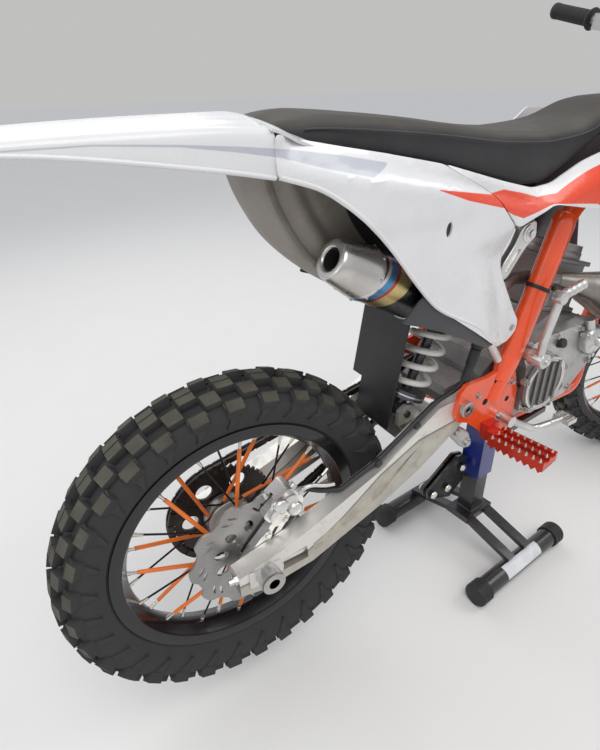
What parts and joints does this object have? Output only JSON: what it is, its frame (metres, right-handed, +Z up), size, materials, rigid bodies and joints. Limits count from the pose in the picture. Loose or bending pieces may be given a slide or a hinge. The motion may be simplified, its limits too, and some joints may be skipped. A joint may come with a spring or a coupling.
{
  "type": "mini motocross bike",
  "caption": "Mini motocross bike with spoked wheels, long white rear fender and charcoal seat, held off the floor by a centre paddock stand.",
  "frame": {"origin": "on the floor, under the middle of the box round the machine and its stand", "axes": "+X towards the front wheel, +Y to the rider's left, +Z up"},
  "size_m": [1.8774, 0.708, 1.1432],
  "materials": {
    "frame_orange": "gloss orange paint",
    "cast_silver": "bead-blasted cast aluminium",
    "steel": "plain steel",
    "chain_steel": "oiled dark steel",
    "chromed": "hard chrome",
    "anodised_grey": "grey anodised",
    "rim_black": "gloss black",
    "engine_grey": "grey painted castings",
    "pipe_steel": "raw steel with welds",
    "silencer_alu": "brushed",
    "white_plastic": "gloss white",
    "orange_plastic": "gloss orange-red",
    "black_plastic": "satin black",
    "seat_cover": "charcoal vinyl",
    "spring_white": "off-white paint",
    "tyre_rubber": "black rubber",
    "rubber_black": "black rubber",
    "stand_black": "satin black paint",
    "stand_blue": "gloss blue paint"
  },
  "bodies": {
    "chassis": {"steering_head": "frame_orange", "spar_right": "frame_orange", "spar_left": "frame_orange", "cradle": "frame_orange", "subframe": "cast_silver", "swingarm": "cast_silver", "rear_axle": "steel", "pivot_bolt": "steel", "chain": "chain_steel", "drive_sprocket": "chain_steel", "shock_body": "anodised_grey", "shock_spring": "spring_white", "engine_block": "engine_grey", "clutch_cover": "engine_grey", "cylinder": "engine_grey", "kick_lever": "cast_silver", "gear_lever": "steel", "exhaust_pipe": "pipe_steel", "silencer": "silencer_alu", "radiators": "anodised_grey", "airbox": "black_plastic", "mudflap": "rubber_black", "panel_guards": "black_plastic", "rear_fender": "white_plastic", "side_panel_right": "white_plastic", "side_panel_left": "white_plastic", "seat": "seat_cover", "tank": "black_plastic", "shroud_right": "orange_plastic", "shroud_left": "orange_plastic", "footpegs": "frame_orange", "brake_pedal": "cast_silver", "rear_caliper": "cast_silver", "rear_brake_hose": "rubber_black", "stand_feet": "stand_black", "stand_caps": "rubber_black", "stand_legs": "stand_black", "stand_column": "stand_black", "stand_sleeve": "stand_blue"},
    "front_end": {"triple_clamps": "cast_silver", "fork_tubes": "anodised_grey", "fork_legs": "chromed", "front_axle": "steel", "handlebar": "cast_silver", "grips": "rubber_black", "levers": "cast_silver", "number_plate": "white_plastic", "front_fender": "white_plastic", "fork_guards": "orange_plastic", "front_caliper": "cast_silver"},
    "front_wheel": {"front_tyre": "tyre_rubber", "front_rim": "rim_black", "front_hub": "cast_silver", "front_disc": "anodised_grey"},
    "rear_wheel": {"rear_tyre": "tyre_rubber", "rear_rim": "rim_black", "rear_hub": "cast_silver", "rear_disc": "anodised_grey", "rear_sprocket": "chain_steel"}
  },
  "joints": [
    {"name": "steering", "type": "hinge", "parent": "chassis", "child": "front_end", "pos_m": [0.6134, -0.0035, 0.29929], "axis": [-0.3746, 0, 0.9272], "range_deg": [-20, 64]},
    {"name": "front_wheel_spin", "type": "hinge", "parent": "front_end", "child": "front_wheel", "pos_m": [0.64177, -0.01586, 0.31075], "axis": [0.3473, 0.9272, 0.1403], "continuous": true},
    {"name": "rear_wheel_spin", "type": "hinge", "parent": "chassis", "child": "rear_wheel", "pos_m": [-0.646, -0.0035, 0.34865], "axis": [0, 1, 0], "continuous": true}
  ]
}
